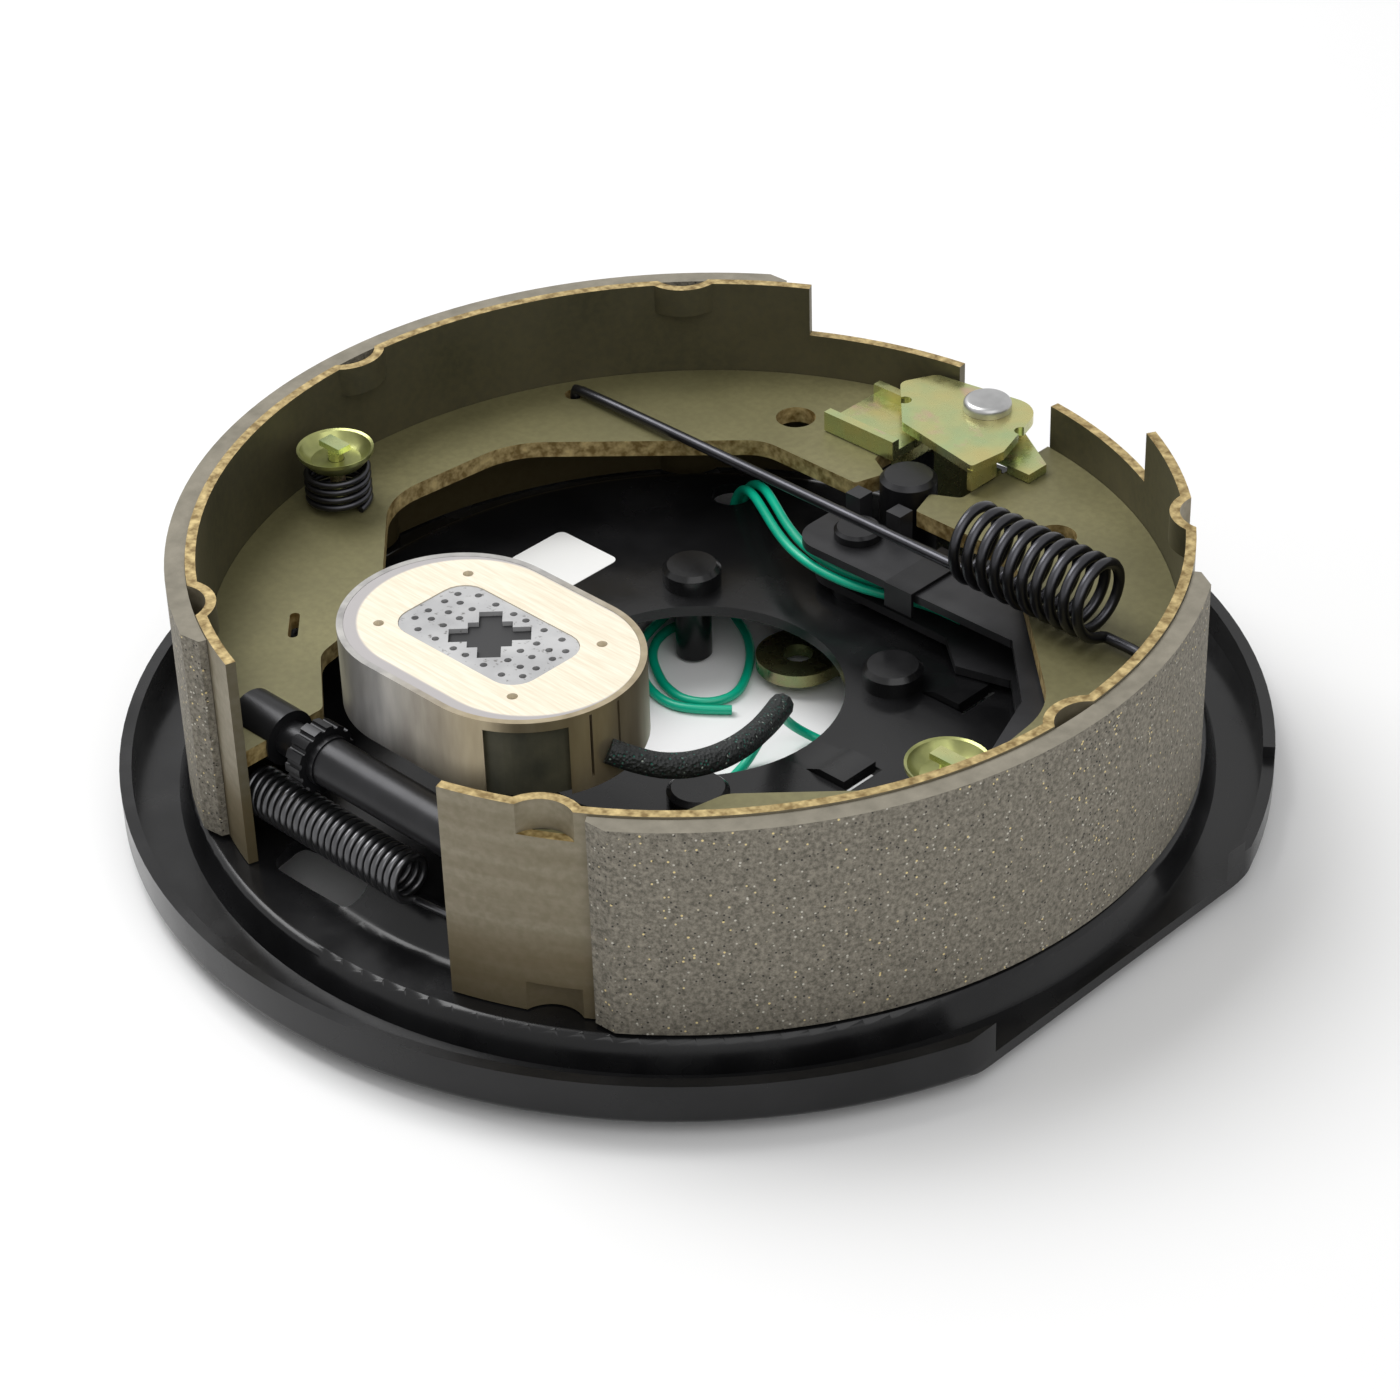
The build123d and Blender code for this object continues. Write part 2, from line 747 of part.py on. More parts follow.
def magnet_shell():
    shell = slab(magnet_plan(0), magnet_low_z, magnet_top_z)
    shell -= slab(magnet_plan(magnet_wall), magnet_low_z + magnet_floor_t, magnet_top_z + 1)
    shell -= along(magnet_low_z - 1, magnet_top_z, magnet_pin_r + fit, magnet_x, magnet_y)
    cap = Pos(magnet_x + magnet_straight / 2, magnet_y)
    middle = Pos(window_in + window_out / 2, 0)
    window = cap * Rot(0, 0, window_turn) * middle * Rectangle(window_out, window_w)
    shell -= slab(window, magnet_low_z - 1, magnet_low_z + window_h)
    for angle in slit_angles:
        slit = cap * Rot(0, 0, angle) * Pos(magnet_cap_r, 0) * Rectangle(3 * magnet_wall, slit_w)
        shell -= slab(slit, magnet_low_z + magnet_floor_t, magnet_top_z - 1)
    return shell


def magnet_face():
    face = slab(magnet_plan(magnet_wall + fit), face_low_z, magnet_top_z - fit)
    return face - slab(lozenge(fit), face_low_z - 1, magnet_top_z + 1)


def magnet_insert():
    insert = slab(lozenge(-fit), face_low_z, magnet_top_z - insert_sink)
    return insert - slab(cross(fit), face_low_z - 1, magnet_top_z)


def magnet_retainer():
    high = magnet_top_z - retainer_sink
    return slab(cross(-fit), high - cross_t, high)


def magnet_coil():
    low = magnet_low_z + magnet_floor_t + fit
    outer = Pos(magnet_x, magnet_y) * SlotOverall(magnet_straight / 2 + 2 * coil_outer_r, 2 * coil_outer_r)
    inner = Pos(magnet_x, magnet_y) * SlotOverall(magnet_straight / 2 + 2 * coil_inner_r, 2 * coil_inner_r)
    return slab(outer, low, low + coil_h) - slab(inner, low - 1, low + coil_h + 1)


def magnet_pin():
    low = arm_low_z - fit
    pin = along(low - magnet_pin_foot_t, low, magnet_pin_foot_r, magnet_x, magnet_y)
    return pin + along(low, magnet_pin_top_z, magnet_pin_r, magnet_x, magnet_y)


def magnet_spring():
    low = arm_high_z + magnet_wire / 2 + fit
    high = magnet_low_z - magnet_wire / 2 - fit
    middle = (magnet_x, magnet_y, low)
    return coil(middle, (0, 0, high - low), magnet_spring_low_r, magnet_spring_high_r,
                magnet_turns, coil_steps, 0, [], [], magnet_wire)


# Park brake expander

upper_low_z = rivet_top_z - rivet_head_t - upper_plate_t
lever_eye_high_z = upper_low_z - loose
lever_eye_low_z = lever_eye_high_z - lever_eye_t
strut_low_z = web_high_z + web_clear
toe_x = toe_shoulder[0]


def expander_rivet():
    top = upper_low_z + upper_plate_t + fit
    rivet = along(strut_low_z - rivet_foot_t, strut_low_z - fit, rivet_foot_r)
    rivet += along(strut_low_z - fit, top, rivet_r)
    rivet += along(top, rivet_top_z, rivet_head_r)
    rivet = fillet(rivet.edges().group_by(Axis.Z)[-1], rivet_round)
    return Pos(0, rivet_y) * rivet


def expander_plate():
    """Upper link plate with a bent-down tab at its near end."""
    tab_x = toe_x + tab_reach
    corners = [link_far_low, (tab_x, link_tab_low_y), (tab_x + tab_flare, link_tab_high_y)]
    corners += [(eye_r, rivet_y + eye_r), link_far_high, link_far_end]
    bends = [link_end_bend, tab_reach, tab_reach, eye_r - link_end_bend] + 2 * [link_far_bend]
    plate = slab(outline(corners, bends), upper_low_z, upper_low_z + upper_plate_t)
    tab_in_x = tab_x - upper_plate_t + tab_reach
    plate += block(tab_in_x, tab_x, link_tab_low_y + fit, link_tab_high_y - tab_reach,
                   web_high_z + tab_gap, upper_low_z + tab_reach)
    for x, y in link_holes:
        plate -= along(upper_low_z - 1, rivet_top_z, link_hole_r, x, y)
    return plate - along(0, far, rivet_r + fit, 0, rivet_y)


def expander_strut():
    """Lower link with a folded channel over the far toe and a finger over the near one."""
    high = strut_low_z + strut_t
    leg_clear = lever_y + lever_t + lever_leg_gap
    finger_x = toe_x + finger_step
    corners = [(strut_far_x, strut_low_y), (strut_step_x, strut_low_y), (strut_step_x, leg_clear)]
    corners += [(finger_x, leg_clear), (finger_x, finger_low_y), (finger_end_x, finger_low_y)]
    corners += [(finger_end_x, strut_high_y), (eye_r, rivet_y + finger_shoulder)]
    corners += [(0, rivet_y + eye_r), (fold_end_x, strut_high_y), (strut_far_x, strut_high_y)]
    strut = slab(make_face(Polyline(*corners, close=True)), strut_low_z, high)
    fold_top = upper_low_z - loose
    strut += block(strut_far_x, strut_step_x, strut_low_y, strut_low_y + strut_t,
                   strut_low_z, fold_top)
    strut += block(strut_far_x, fold_end_x, strut_high_y - strut_t, strut_high_y,
                   strut_low_z, fold_top)
    lug_x = -toe_x + toe_contact_gap
    strut += block(lug_x, lug_x + strut_t, lug_low_y, lug_high_y, web_low_z - lug_depth, high)
    return strut - along(0, far, rivet_r + fit, 0, rivet_y)


def park_lever():
    """Lever with its eye on the rivet, its leg through the plate and a tongue behind it."""
    far_y = lever_y + lever_t
    neck = Pos(0, (lever_y + rivet_y) / 2) * Rectangle(lever_w, rivet_y - lever_y)
    eye = Pos(0, rivet_y) * Circle(lever_eye_r) + neck
    lever = slab(eye, lever_eye_low_z, lever_eye_high_z)
    lever += block(-lever_w / 2, lever_w / 2, lever_y, far_y, lever_low_z, lever_eye_high_z)
    nose_x = toe_x - lever_nose_gap
    lever += block(0, nose_x, lever_y, far_y, web_low_z, web_high_z)
    tongue = Pos(*tongue_tip) * Circle(tongue_w / 2)
    strap = [(-tongue_w / 2, far_y), (tongue_w / 2, far_y)]
    strap += [(tongue_tip[0] + tongue_w / 2, tongue_tip[1]), (tongue_tip[0] - tongue_w / 2, tongue_tip[1])]
    tongue += make_face(Polyline(*strap, close=True))
    lever += slab(tongue, lever_low_z, lever_low_z + tongue_t)
    lever -= along(lever_low_z - 1, lever_low_z + tongue_t + 1, tongue_hole_r, *tongue_tip)
    return lever - along(0, far, rivet_r + fit, 0, rivet_y)


# Wires. Each route is a list of points chosen by hand.

lead_1_route = [
    (37.0, 58.0, 11.0), (30.0, 57.6, 11.4), (22.0, 55.8, 11.4), (13.5, 52.6, 11.6),
    (4.5, 50.0, 12.2), (-5.0, 49.2, 13.0), (-14.5, 50.8, 13.6), (-24.0, 55.0, 13.8),
    (-33.5, 60.5, 13.6), (-42.5, 66.0, 12.4), (-50.0, 70.2, 9.0), (-55.0, 72.6, 3.2),
    (-57.2, 73.2, -3.8), (-58.6, 70.2, -10.6), (-58.0, 64.2, -16.0), (-56.0, 56.4, -18.4),
    (-53.6, 48.0, lead_floor_z), (-51.8, 39.8, lead_floor_z), (-49.8, 31.8, lead_floor_z),
    (-46.0, 24.6, lead_floor_z), (-38.6, 18.2, lead_floor_z), (-30.0, 13.6, lead_floor_z),
    (-21.4, 12.6, lead_floor_z), (-14.4, 16.4, lead_floor_z), (-8.6, 21.6, lead_floor_z),
]
lead_2_route = [
    (37.0, 61.4, 11.6), (30.0, 61.0, 12.0), (22.0, 59.0, 12.0), (13.0, 55.8, 12.2),
    (4.0, 53.2, 12.8), (-5.0, 52.4, 13.6), (-13.5, 54.0, 14.2), (-23.0, 58.2, 14.4),
    (-32.0, 63.6, 14.2), (-40.5, 69.0, 13.0), (-48.6, 73.2, 9.8), (-54.6, 76.0, 4.0),
    (-56.4, 76.6, -3.2), (-54.4, 74.6, -10.2), (-51.6, 69.0, -15.6), (-48.6, 62.6, -18.4),
    (-43.6, 56.6, lead_floor_z), (-37.0, 53.2, lead_floor_z), (-29.8, 49.8, lead_floor_z),
    (-22.6, 43.6, lead_floor_z), (-16.9, 36.2, lead_floor_z), (-12.4, 27.8, lead_floor_z),
    (-14.4, 20.4, lead_floor_z), (-20.8, 16.5, lead_floor_z), (-28.6, 17.6, lead_floor_z),
    (-36.0, 21.6, lead_floor_z), (-42.6, 26.6, lead_floor_z), (-46.6, 33.4, lead_floor_z),
    (-47.0, 41.4, lead_floor_z), (-43.2, 48.2, lead_floor_z),
]
magnet_lead_1_route = [
    (30.4, 1.5, 11.3), (26.3, 5.4, 7.8), (22.7, 8.8, 3.6), (18.9, 12.0, -0.7),
    (15.4, 15.2, -5.2), (12.4, 18.7, -9.9), (12.4, 22.1, -14.2), (14.7, 25.0, -17.2),
    (18.9, 26.9, lead_floor_z), (24.2, 27.1, lead_floor_z), (28.8, 24.6, lead_floor_z),
]
magnet_lead_2_route = [
    (28.0, -0.1, 11.3), (24.0, 3.5, 7.4), (20.2, 6.9, 3.2), (16.2, 9.9, -1.4),
    (12.9, 12.8, -6.2), (11.3, 12.8, -11.3), (10.5, 10.1, -15.8), (10.8, 5.6, -18.6),
    (12.0, -0.1, lead_floor_z), (14.3, -6.2, lead_floor_z), (17.0, -12.0, lead_floor_z),
]
sleeve_route = [
    (38.9, -67.4, 38.0), (45.0, -61.8, 34.1), (49.1, -54.1, 31.3), (50.5, -45.6, 29.3),
    (49.4, -37.4, 27.2), (46.7, -29.6, 24.6), (42.8, -21.9, 21.4), (38.3, -14.2, 17.8),
    (33.8, -7.0, 14.4), (29.75, -0.35, 11.7),
]



def braided_sleeve():
    """Braided tube over the magnet's leads, cut to the magnet's side."""
    tube = cord("braided_sleeve", sleeve_route, sleeve_d)
    return tube - slab(magnet_plan(-fit), magnet_low_z, magnet_top_z)


os.makedirs("parts", exist_ok=True)


def save(name, *shapes):
    """Write one node, of one solid or of a few alike."""
    solids = []
    for shape in shapes:
        solids += shape.solids()
    whole = solids[0] if len(solids) == 1 else Compound(children=solids)
    print(name, len(solids), "solid", round(sum(s.volume for s in solids)), "cubic mm")
    export_step(whole, "parts/" + name + ".step")


near_web = shoe_web()
near_table = shoe_table(near_nib_angles)
far_table = mirrored(shoe_table([180 - a for a in far_nib_angles]))

save("backing_plate", backing_plate())
save("mounting_studs", *mounting_studs())
save("anchor_post", anchor_post())
save("shoe_web_near", near_web)
save("shoe_web_far", mirrored(near_web))
save("shoe_table_near", near_table)
save("shoe_table_far", far_table)
save("lining_near", shoe_lining(near_lining_start, near_lining_end))
save("lining_far", shoe_lining(far_lining_start, far_lining_end))
save("hold_down_pins", hold_down_pin(1), hold_down_pin(-1))
save("hold_down_cups", hold_down_cup(1), hold_down_cup(-1))
save("hold_down_springs", hold_down_spring(1), hold_down_spring(-1))
save("return_spring", return_spring())
save("adjuster_screw", adjuster_screw())
save("star_wheel", star_wheel())
save("adjuster_tube", adjuster_tube())
save("adjuster_spring", adjuster_spring())
save("actuating_arm", actuating_arm())
save("arm_pivot_pin", arm_pivot_pin())
save("wire_clip", wire_clip())
save("magnet_shell", magnet_shell())
save("magnet_face", magnet_face())
save("magnet_insert", magnet_insert())
save("magnet_retainer", magnet_retainer())
save("magnet_coil", magnet_coil())
save("magnet_pin", magnet_pin())
save("magnet_spring", magnet_spring())
save("expander_rivet", expander_rivet())
save("expander_plate", expander_plate())
save("expander_strut", expander_strut())
save("park_lever", park_lever())
save("lead_1", cord("lead_1", lead_1_route, lead_d))
save("lead_2", cord("lead_2", lead_2_route, lead_d))
save("magnet_lead_1", cord("magnet_lead_1", magnet_lead_1_route, lead_d))
save("magnet_lead_2", cord("magnet_lead_2", magnet_lead_2_route, lead_d))
save("braided_sleeve", braided_sleeve())
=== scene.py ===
from math import cos, pi, radians, sin

import bmesh
import bpy
from mathutils import Matrix, Vector
from mathutils.geometry import tessellate_polygon


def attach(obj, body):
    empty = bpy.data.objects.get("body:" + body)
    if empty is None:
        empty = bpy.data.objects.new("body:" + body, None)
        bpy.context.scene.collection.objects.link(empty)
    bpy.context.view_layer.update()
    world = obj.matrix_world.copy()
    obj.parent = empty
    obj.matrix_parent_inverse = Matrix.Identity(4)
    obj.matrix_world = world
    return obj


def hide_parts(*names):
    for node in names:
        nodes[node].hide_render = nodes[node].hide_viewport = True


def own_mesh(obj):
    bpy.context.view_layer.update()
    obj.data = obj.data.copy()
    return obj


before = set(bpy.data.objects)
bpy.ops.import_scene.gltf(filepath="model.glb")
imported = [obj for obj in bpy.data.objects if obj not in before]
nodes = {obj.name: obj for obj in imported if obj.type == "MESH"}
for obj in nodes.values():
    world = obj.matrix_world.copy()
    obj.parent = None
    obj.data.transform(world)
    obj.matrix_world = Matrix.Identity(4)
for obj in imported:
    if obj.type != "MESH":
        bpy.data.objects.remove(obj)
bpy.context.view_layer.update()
mm = 0.001
scene = bpy.context.scene

# Camera, solved from the photograph: place, target, lens and sensor in millimetres
camera_place = (549.6, -547.3, 533.2)
camera_target = (4.47, -2.93, 3.0)
camera_roll = 1.82
camera_lens = 97.06
camera_sensor = 36.0

# Studio: lamps by place, size and power in metres and watts, all aimed at the origin
lamps = (("key", (-1.0, -0.1, 1.5), 1.1, 26), ("fill", (1.2, -0.6, 1.4), 1.6, 12))
room_seen = 0.9
room_light = 0.45
floor_size = 6.0
floor_tone = 0.86

# Wires: routes and sizes as in the part's source, in millimetres
lead_d = 2.5
sleeve_d = 6.3
stud_tip_z = -20.0
lead_floor_z = stud_tip_z + lead_d / 2 + 0.05
lead_1_route = [
    (37.0, 58.0, 11.0), (30.0, 57.6, 11.4), (22.0, 55.8, 11.4), (13.5, 52.6, 11.6),
    (4.5, 50.0, 12.2), (-5.0, 49.2, 13.0), (-14.5, 50.8, 13.6), (-24.0, 55.0, 13.8),
    (-33.5, 60.5, 13.6), (-42.5, 66.0, 12.4), (-50.0, 70.2, 9.0), (-55.0, 72.6, 3.2),
    (-57.2, 73.2, -3.8), (-58.6, 70.2, -10.6), (-58.0, 64.2, -16.0), (-56.0, 56.4, -18.4),
    (-53.6, 48.0, lead_floor_z), (-51.8, 39.8, lead_floor_z), (-49.8, 31.8, lead_floor_z),
    (-46.0, 24.6, lead_floor_z), (-38.6, 18.2, lead_floor_z), (-30.0, 13.6, lead_floor_z),
    (-21.4, 12.6, lead_floor_z), (-14.4, 16.4, lead_floor_z), (-8.6, 21.6, lead_floor_z),
]
lead_2_route = [
    (37.0, 61.4, 11.6), (30.0, 61.0, 12.0), (22.0, 59.0, 12.0), (13.0, 55.8, 12.2),
    (4.0, 53.2, 12.8), (-5.0, 52.4, 13.6), (-13.5, 54.0, 14.2), (-23.0, 58.2, 14.4),
    (-32.0, 63.6, 14.2), (-40.5, 69.0, 13.0), (-48.6, 73.2, 9.8), (-54.6, 76.0, 4.0),
    (-56.4, 76.6, -3.2), (-54.4, 74.6, -10.2), (-51.6, 69.0, -15.6), (-48.6, 62.6, -18.4),
    (-43.6, 56.6, lead_floor_z), (-37.0, 53.2, lead_floor_z), (-29.8, 49.8, lead_floor_z),
    (-22.6, 43.6, lead_floor_z), (-16.9, 36.2, lead_floor_z), (-12.4, 27.8, lead_floor_z),
    (-14.4, 20.4, lead_floor_z), (-20.8, 16.5, lead_floor_z), (-28.6, 17.6, lead_floor_z),
    (-36.0, 21.6, lead_floor_z), (-42.6, 26.6, lead_floor_z), (-46.6, 33.4, lead_floor_z),
    (-47.0, 41.4, lead_floor_z), (-43.2, 48.2, lead_floor_z),
]
magnet_lead_1_route = [
    (30.4, 1.5, 11.3), (26.3, 5.4, 7.8), (22.7, 8.8, 3.6), (18.9, 12.0, -0.7),
    (15.4, 15.2, -5.2), (12.4, 18.7, -9.9), (12.4, 22.1, -14.2), (14.7, 25.0, -17.2),
    (18.9, 26.9, lead_floor_z), (24.2, 27.1, lead_floor_z), (28.8, 24.6, lead_floor_z),
]
magnet_lead_2_route = [
    (28.0, -0.1, 11.3), (24.0, 3.5, 7.4), (20.2, 6.9, 3.2), (16.2, 9.9, -1.4),
    (12.9, 12.8, -6.2), (11.3, 12.8, -11.3), (10.5, 10.1, -15.8), (10.8, 5.6, -18.6),
    (12.0, -0.1, lead_floor_z), (14.3, -6.2, lead_floor_z), (17.0, -12.0, lead_floor_z),
]
sleeve_route = [
    (38.9, -67.4, 38.0), (45.0, -61.8, 34.1), (49.1, -54.1, 31.3), (50.5, -45.6, 29.3),
    (49.4, -37.4, 27.2), (46.7, -29.6, 24.6), (42.8, -21.9, 21.4), (38.3, -14.2, 17.8),
    (33.8, -7.0, 14.4), (29.75, -0.35, 11.7),
]

# Springs: middle line, span, radius of the coil's middle, wire, turns and hooks
return_axis = (55.0, 38.3)
return_x = (41.5, 84.5)
return_r = 9.6
return_wire = 2.8
return_turns = 10
return_hook = (97.5, 55.0, 18.8)
return_bend = (1.5, 1.2)
adjuster_axis = (-106.5, 10.0)
adjuster_x = (-41.0, 13.0)
adjuster_r = 5.4
adjuster_wire = 1.9
adjuster_turns = 24
adjuster_hook = (45.0, -108.0, 29.2)
adjuster_bend = 3.0
hook_lead = 2.0
hold_place = (103.3, -24.0)
hold_z = (27.2, 37.4)
hold_r = 8.1
hold_wire = 1.8
hold_turns = 4.5
magnet_middle = (-0.75, -65.6)
magnet_spring_z = (20.5, 29.0)
magnet_spring_r = (8.0, 13.0)
magnet_turns = 3
coil_steps = 12

# Magnet face: cream ring, perforated plate and black cross on one dark bed
magnet_top_z = 51.0
magnet_half = 12.25
face_r = 26.05
face_sink = 0.05
bed_z = (46.0, 47.0)
crescent_shift = 1.2
crescent_r = (24.3, 24.9)
lozenge_middle = (-1.6, -65.5)
lozenge_half = (21.5, 12.5)
lozenge_corner = 6.5
lozenge_gap = 0.08
lozenge_sink = 0.3
holes_middle = (-1.5, -65.15)
small_hole_r = 0.9
small_holes = [(18.2, 2.6), (18.2, 6.85), (15.0, 4.6), (14.1, 9.65), (10.9, 4.6), (8.15, 9.65),
               (2.05, 9.65)]
row_holes = [14.1, 10.3]
corner_holes = (22.6, 14.3)
corner_hole_r = 1.3
cross_half = 9.6
cross_arm = 2.7
cross_core = 5.2
cross_sink = 1.5
cross_gap = 0.05
panel_r = (25.3, 26.3)
panel_arc = (-68, 46)
panel_z = (30.2, 48.5)

# Cups over the hold-down springs: radius and height of each point of the section
cup_section = [(2.15, 39.3), (6.4, 39.3), (8.2, 40.6), (9.2, 42.2), (9.9, 42.5), (9.9, 41.6),
               (9.2, 40.6), (7.2, 38.3), (2.15, 38.3)]

# The plate's label
plate_top_z = 3.0
label_low = (-78.0, 10.0)
label_high = (-56.5, 29.5)
label_corner = 2.0
label_t = 0.12

# Smoothness: points within weld_gap join, and edges past sharp_angle stay sharp
weld_gap = 0.002
sharp_angle = 32.0


def screen(r, g, b):
    """Linear colour of a colour given in the screen's 0 to 255 values."""
    values = []
    for v in (r, g, b):
        v = v / 255
        values.append(v / 12.92 if v <= 0.04045 else ((v + 0.055) / 1.055) ** 2.4)
    return (*values, 1.0)


def point(p):
    """Point in metres from one in millimetres."""
    return Vector(p) * mm


# Camera, lights and floor

def add_camera():
    """The photograph's camera, rolled about its own line of sight."""
    place, target = point(camera_place), point(camera_target)
    forward = (target - place).normalized()
    right = forward.cross(Vector((0, 0, 1))).normalized()
    up = right.cross(forward)
    roll = radians(camera_roll)
    up = up * cos(roll) + right * sin(roll)
    right = forward.cross(up)
    data = bpy.data.cameras.new("camera")
    data.lens = camera_lens
    data.sensor_width = camera_sensor
    camera = bpy.data.objects.new("camera", data)
    turn = Matrix((right, up, -forward)).transposed().to_4x4()
    camera.matrix_world = Matrix.Translation(place) @ turn
    scene.collection.objects.link(camera)
    scene.camera = camera


def add_light(name, place, size, power):
    """Soft square lamp aimed at the origin."""
    data = bpy.data.lights.new(name, "AREA")
    data.size = size
    data.energy = power
    lamp = bpy.data.objects.new(name, data)
    aim = (-Vector(place)).to_track_quat("-Z", "Y")
    lamp.matrix_world = Matrix.Translation(place) @ aim.to_matrix().to_4x4()
    scene.collection.objects.link(lamp)


def add_world():
    """Plain studio room: white to the camera and in reflections, softer as a light."""
    world = bpy.data.worlds.new("studio")
    scene.world = world
    world.use_nodes = True
    tree = world.node_tree
    background = tree.nodes["Background"]
    background.inputs["Color"].default_value = (1.0, 1.0, 1.0, 1.0)
    path = tree.nodes.new("ShaderNodeLightPath")
    seen = tree.nodes.new("ShaderNodeMath")
    seen.operation = "MAXIMUM"
    tree.links.new(path.outputs["Is Camera Ray"], seen.inputs[0])
    tree.links.new(path.outputs["Is Glossy Ray"], seen.inputs[1])
    strength = tree.nodes.new("ShaderNodeMapRange")
    strength.inputs["To Min"].default_value = room_light
    strength.inputs["To Max"].default_value = room_seen
    tree.links.new(seen.outputs[0], strength.inputs["Value"])
    tree.links.new(strength.outputs["Result"], background.inputs["Strength"])


def add_floor():
    """White floor at the height of the studs' tips."""
    bpy.ops.mesh.primitive_plane_add(size=floor_size, location=(0, 0, stud_tip_z * mm))
    floor = bpy.context.object
    floor.name = "floor"
    paint = Paint("floor_white", (floor_tone, floor_tone, floor_tone, 1), 0.7)
    floor.data.materials.append(paint.material)


# Materials

class Paint:
    """One principled material and short ways to add procedural detail to it."""

    def __init__(self, name, colour, roughness, metallic=0.0, **sockets):
        self.material = bpy.data.materials.new(name)
        self.material.use_nodes = True
        self.tree = self.material.node_tree
        self.shader = self.tree.nodes["Principled BSDF"]
        self.set("Base Color", colour)
        self.set("Roughness", roughness)
        self.set("Metallic", metallic)
        for socket, value in sockets.items():
            self.set(socket.replace("_", " ").title().replace("Ior", "IOR"), value)

    def set(self, socket, value):
        """Constant on one of the shader's sockets."""
        self.shader.inputs[socket].default_value = value

    def join(self, output, socket):
        """Link into one of the shader's sockets."""
        self.tree.links.new(output, self.shader.inputs[socket])

    def plug(self, made, socket, value):
        """Link or constant on a node's socket, whichever the value is."""
        if hasattr(value, "is_output"):
            self.tree.links.new(value, made.inputs[socket])
        else:
            made.inputs[socket].default_value = value

    def node(self, kind, inputs=(), **settings):
        made = self.tree.nodes.new("ShaderNode" + kind)
        for key, value in settings.items():
            setattr(made, key, value)
        for key, value in dict(inputs).items():
            self.plug(made, key, value)
        return made

    def math(self, operation, *values):
        return self.node("Math", dict(enumerate(values)), operation=operation).outputs[0]

    def place(self, stretch=(1, 1, 1)):
        """The object's own coordinates, stretched."""
        coordinates = self.node("TexCoord").outputs["Object"]
        return self.node("Mapping", {"Vector": coordinates, "Scale": stretch}).outputs["Vector"]

    def noise(self, scale, detail=3.0, roughness=0.5, stretch=(1, 1, 1)):
        inputs = {"Vector": self.place(stretch), "Scale": scale, "Detail": detail,
                  "Roughness": roughness}
        return self.node("TexNoise", inputs).outputs["Fac"]

    def cells(self, scale):
        return self.node("TexVoronoi", {"Vector": self.place(), "Scale": scale})

    def channel(self, cells, name):
        """One channel of the cells' own colours: an even random pick from 0 to 1 for each cell."""
        return self.node("SeparateColor", {"Color": cells.outputs["Color"]}).outputs[name]

    def between(self, value, low, high, start=0.0, end=1.0):
        """Start where the value is low, end where it is high, and even steps between."""
        inputs = {"Value": value, "From Min": low, "From Max": high, "To Min": start, "To Max": end}
        return self.node("MapRange", inputs).outputs["Result"]

    def blend(self, factor, first, second):
        """First colour where the factor is 0, second where it is 1."""
        mixer = self.node("Mix", data_type="RGBA")
        for socket, value in ((0, factor), (6, first), (7, second)):
            self.plug(mixer, socket, value)
        return mixer.outputs[2]

    def normal_z(self):
        """How far the surface faces along the axle: 1 up, 0 sideways."""
        normal = self.node("TexCoord").outputs["Normal"]
        return self.node("SeparateXYZ", {"Vector": normal}).outputs["Z"]

    def inward(self):
        """1 where the surface faces the brake's middle, 0 where it faces out."""
        level = self.node("VectorMath", {0: self.place(), 1: (1, 1, 0)}, operation="MULTIPLY")
        normal = self.node("TexCoord").outputs["Normal"]
        pair = {0: level.outputs[0], 1: normal}
        facing = self.node("VectorMath", pair, operation="DOT_PRODUCT").outputs["Value"]
        return self.between(facing, 0.002, -0.002)

    def axis(self, name):
        return self.node("SeparateXYZ", {"Vector": self.place()}).outputs[name]

    def bump(self, height, distance, strength=1.0):
        inputs = {"Height": height, "Distance": distance, "Strength": strength}
        made = self.node("Bump", inputs)
        self.join(made.outputs["Normal"], "Normal")


def plate_black():
    """Gloss black paint with a little orange peel and dust."""
    paint = Paint("plate_black", screen(20, 20, 21), 0.24, specular_ior_level=0.3)
    dust = paint.between(paint.noise(30, 6), 0.45, 0.8)
    paint.join(paint.blend(dust, screen(18, 18, 19), screen(34, 34, 35)), "Base Color")
    paint.join(paint.between(paint.noise(60, 4), 0.3, 0.8, 0.16, 0.34), "Roughness")
    paint.bump(paint.noise(700, 2), 0.0001, 0.12)
    return paint.material


